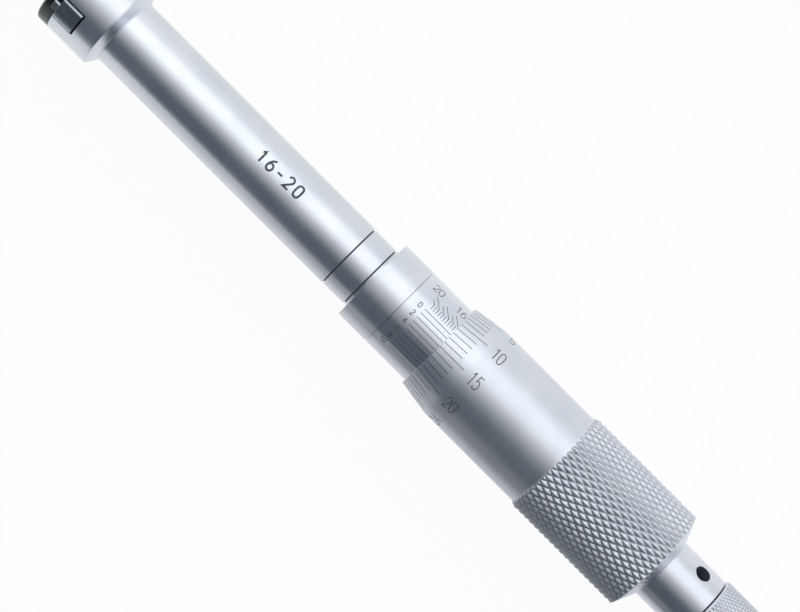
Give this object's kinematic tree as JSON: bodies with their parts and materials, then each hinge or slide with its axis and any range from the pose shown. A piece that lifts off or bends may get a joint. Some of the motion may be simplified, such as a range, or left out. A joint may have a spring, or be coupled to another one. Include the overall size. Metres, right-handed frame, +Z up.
{
  "type": "three-point bore gauge",
  "caption": "Three-point internal micrometer: cone-driven radial anvils in a round head, long tube, graduated sleeve, knurled thimble and ratchet stop.",
  "frame": {"origin": "centre of the head's front face, on the instrument's long axis, as it lies on a table", "axes": "+X runs back from the head to the ratchet, +Z is up with the instrument lying on its side"},
  "size_m": [0.146, 0.0184, 0.0184],
  "materials": {
    "satin_chrome": "satin chrome plate",
    "burnished_steel": "dark burnished",
    "black_screw_steel": "black oxide",
    "hardened_steel": "ground",
    "lapped_carbide": "lapped, mirror bright",
    "ground_steel": "fine ground",
    "spring_steel": "drawn wire",
    "bronze": "turned"
  },
  "bodies": {
    "holder": {"front_cap": "burnished_steel", "cap_screws": "black_screw_steel", "head_body": "satin_chrome", "guide_bush": "bronze", "inner_barrel": "ground_steel", "joint_ring": "satin_chrome", "front_collar": "satin_chrome", "graduated_sleeve": "satin_chrome", "spindle_nut": "bronze", "adjusting_nut": "ground_steel", "rod_return_spring": "spring_steel", "anvil_spring": "spring_steel"},
    "cone_rod": {"measuring_cone": "ground_steel", "push_rod": "ground_steel"},
    "thimble_group": {"spindle": "ground_steel", "thrust_ball": "ground_steel", "thimble": "satin_chrome", "ratchet_body": "satin_chrome", "ratchet_screw": "ground_steel"},
    "ratchet_group": {"ratchet_disc": "ground_steel", "ratchet_spring": "spring_steel", "ratchet_knob": "satin_chrome"},
    "anvil_1_group": {"anvil_1": "hardened_steel", "carbide_tip_1": "lapped_carbide"},
    "anvil_2_group": {"anvil_2": "hardened_steel", "carbide_tip_2": "lapped_carbide"},
    "anvil_3_group": {"anvil_3": "hardened_steel", "carbide_tip_3": "lapped_carbide"}
  },
  "joints": [
    {"name": "cone_slide", "type": "slide", "parent": "holder", "child": "cone_rod", "axis": [-1, 0, 0], "range_m": [-0.00012, 0.00388], "deforming": ["rod_return_spring"]},
    {"name": "thimble_turn", "type": "hinge", "parent": "cone_rod", "child": "thimble_group", "pos_m": [0, 0, 0], "axis": [-1, 0, 0], "range_deg": [-89.33, 2790.77]},
    {"name": "ratchet_turn", "type": "hinge", "parent": "thimble_group", "child": "ratchet_group", "pos_m": [0, 0, 0], "axis": [-1, 0, 0], "continuous": true},
    {"name": "anvil_1_slide", "type": "slide", "parent": "holder", "child": "anvil_1_group", "axis": [0, -0.5906, 0.807], "range_m": [-0.00006, 0.00194], "deforming": ["anvil_spring"]},
    {"name": "anvil_2_slide", "type": "slide", "parent": "holder", "child": "anvil_2_group", "axis": [0, -0.4035, -0.915], "range_m": [-0.00006, 0.00194], "deforming": ["anvil_spring"]},
    {"name": "anvil_3_slide", "type": "slide", "parent": "holder", "child": "anvil_3_group", "axis": [0, 0.9942, 0.108], "range_m": [-0.00006, 0.00194], "deforming": ["anvil_spring"]}
  ],
  "couplings": [
    {"joint": "thimble_turn", "follows": "cone_slide", "rad_per_m": 12566},
    {"joint": "anvil_1_slide", "follows": "cone_slide", "ratio": 0.5},
    {"joint": "anvil_2_slide", "follows": "cone_slide", "ratio": 0.5},
    {"joint": "anvil_3_slide", "follows": "cone_slide", "ratio": 0.5}
  ]
}
